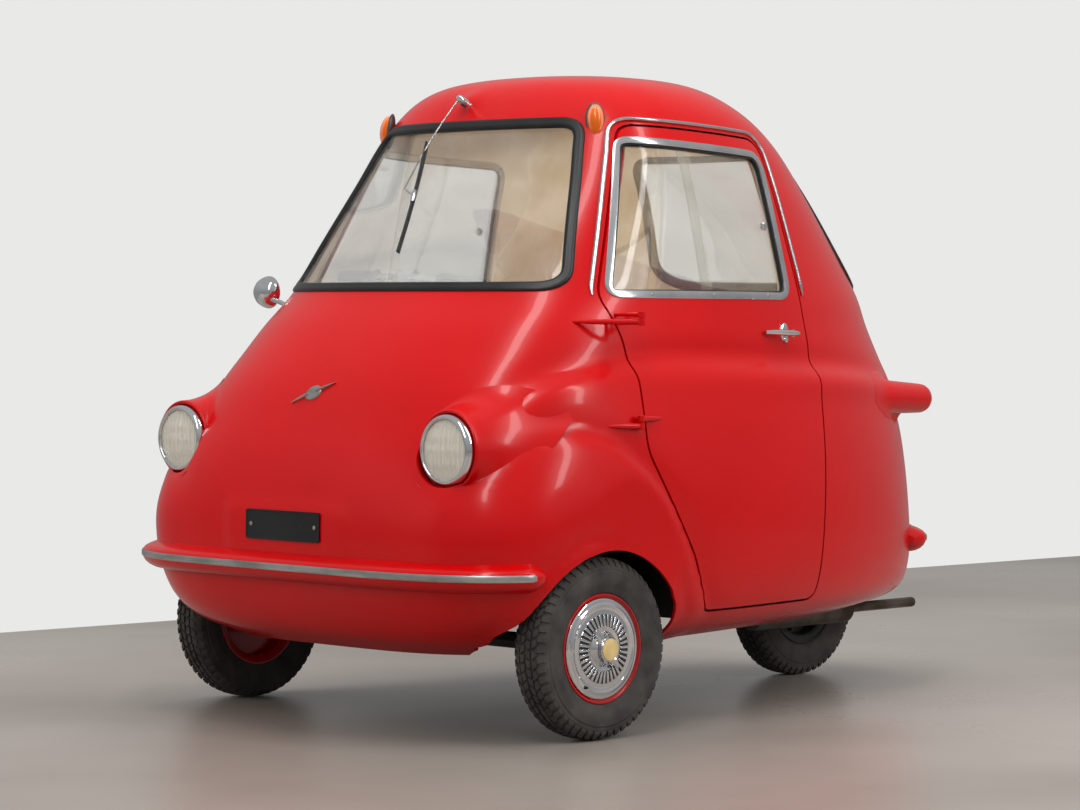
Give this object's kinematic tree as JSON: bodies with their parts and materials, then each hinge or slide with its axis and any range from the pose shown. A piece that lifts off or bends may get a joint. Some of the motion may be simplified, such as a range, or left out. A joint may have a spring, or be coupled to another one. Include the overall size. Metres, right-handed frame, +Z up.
{
  "type": "three-wheeled bubble car",
  "caption": "Enclosed three-wheeled microcar with a moulded bubble body, one side door, steered front wheels and a single rear wheel.",
  "frame": {"origin": "on the ground, in the middle of the car's length and width", "axes": "+Z up, nose towards -Y, the car's left side with the door towards +X"},
  "size_m": [1.31, 2.0772, 1.524],
  "materials": {
    "body_red": "polished gelcoat",
    "rubber": "satin",
    "tyre": "matt",
    "clear": "clear",
    "chrome": "polished",
    "aluminium": "worn satin",
    "black_paint": "chipped satin",
    "rim_red": "gloss",
    "amber": "clear moulded",
    "lamp_red": "clear moulded",
    "trim": "varnished plywood",
    "vinyl": "grained",
    "steel": "dull"
  },
  "bodies": {
    "root": {"shell_nose": "body_red", "shell_side_left": "body_red", "shell_side_right": "body_red", "shell_tail": "body_red", "shell_roof": "body_red", "bumper_front": "body_red", "bumper_rear": "body_red", "windscreen_seal": "rubber", "windscreen_glass": "clear", "rear_window_seal": "rubber", "rear_window_glass": "clear", "right_window_frame": "aluminium", "right_window_glass": "clear", "headlamp_left": "chrome", "headlamp_right": "chrome", "indicator_left": "amber", "indicator_right": "amber", "tail_lamp_left": "lamp_red", "tail_lamp_right": "lamp_red", "mirror": "chrome", "wiper": "chrome", "chassis_frame": "black_paint", "floor_pan": "black_paint", "front_axle_beam": "black_paint", "swing_arm": "black_paint", "wheel_guard": "black_paint", "engine_block": "steel", "exhaust": "steel", "seat_base": "trim", "seat_cushion": "vinyl", "seat_back": "vinyl", "steering_column": "black_paint"},
    "door": {"door_panel": "body_red", "door_window_frame": "aluminium", "door_glass": "clear", "door_handle": "chrome"},
    "handlebar": {"handlebar": "chrome"},
    "knuckle_left": {"knuckle_left": "black_paint"},
    "knuckle_right": {"knuckle_right": "black_paint"},
    "track_rod": {"track_rod": "black_paint"},
    "wheel_front_left": {"tyre_front_left": "tyre", "rim_front_left": "rim_red"},
    "wheel_front_right": {"tyre_front_right": "tyre", "rim_front_right": "rim_red"},
    "wheel_rear": {"tyre_rear": "tyre", "rim_rear": "rim_red"}
  },
  "joints": [
    {"name": "door_hinge", "type": "hinge", "parent": "root", "child": "door", "pos_m": [0.644, -0.50586, 0.82], "axis": [0, 0, -1], "range_deg": [0, 70]},
    {"name": "steer_left", "type": "hinge", "parent": "root", "child": "knuckle_left", "pos_m": [0.505, -0.61286, 0.205], "axis": [0, 0, 1], "range_deg": [-24, 24]},
    {"name": "steer_right", "type": "hinge", "parent": "root", "child": "knuckle_right", "pos_m": [-0.505, -0.61286, 0.205], "axis": [0, 0, 1], "range_deg": [-24, 24]},
    {"name": "track_rod_pivot", "type": "hinge", "parent": "knuckle_left", "child": "track_rod", "pos_m": [0.505, -0.51286, 0.184], "axis": [0, 0, 1], "range_deg": [-24, 24]},
    {"name": "handlebar_turn", "type": "hinge", "parent": "root", "child": "handlebar", "pos_m": [-0.22, -0.27286, 0.83], "axis": [0, 0.4671, 0.8842], "range_deg": [-36, 36]},
    {"name": "wheel_front_left_spin", "type": "hinge", "parent": "knuckle_left", "child": "wheel_front_left", "pos_m": [0.59, -0.61286, 0.205], "axis": [1, 0, 0], "continuous": true},
    {"name": "wheel_front_right_spin", "type": "hinge", "parent": "knuckle_right", "child": "wheel_front_right", "pos_m": [-0.59, -0.61286, 0.205], "axis": [1, 0, 0], "continuous": true},
    {"name": "wheel_rear_spin", "type": "hinge", "parent": "root", "child": "wheel_rear", "pos_m": [0, 0.75714, 0.205], "axis": [1, 0, 0], "continuous": true}
  ],
  "couplings": [
    {"joint": "steer_right", "follows": "steer_left", "ratio": 1},
    {"joint": "track_rod_pivot", "follows": "steer_left", "ratio": -1},
    {"joint": "handlebar_turn", "follows": "steer_left", "ratio": 1.5}
  ]
}
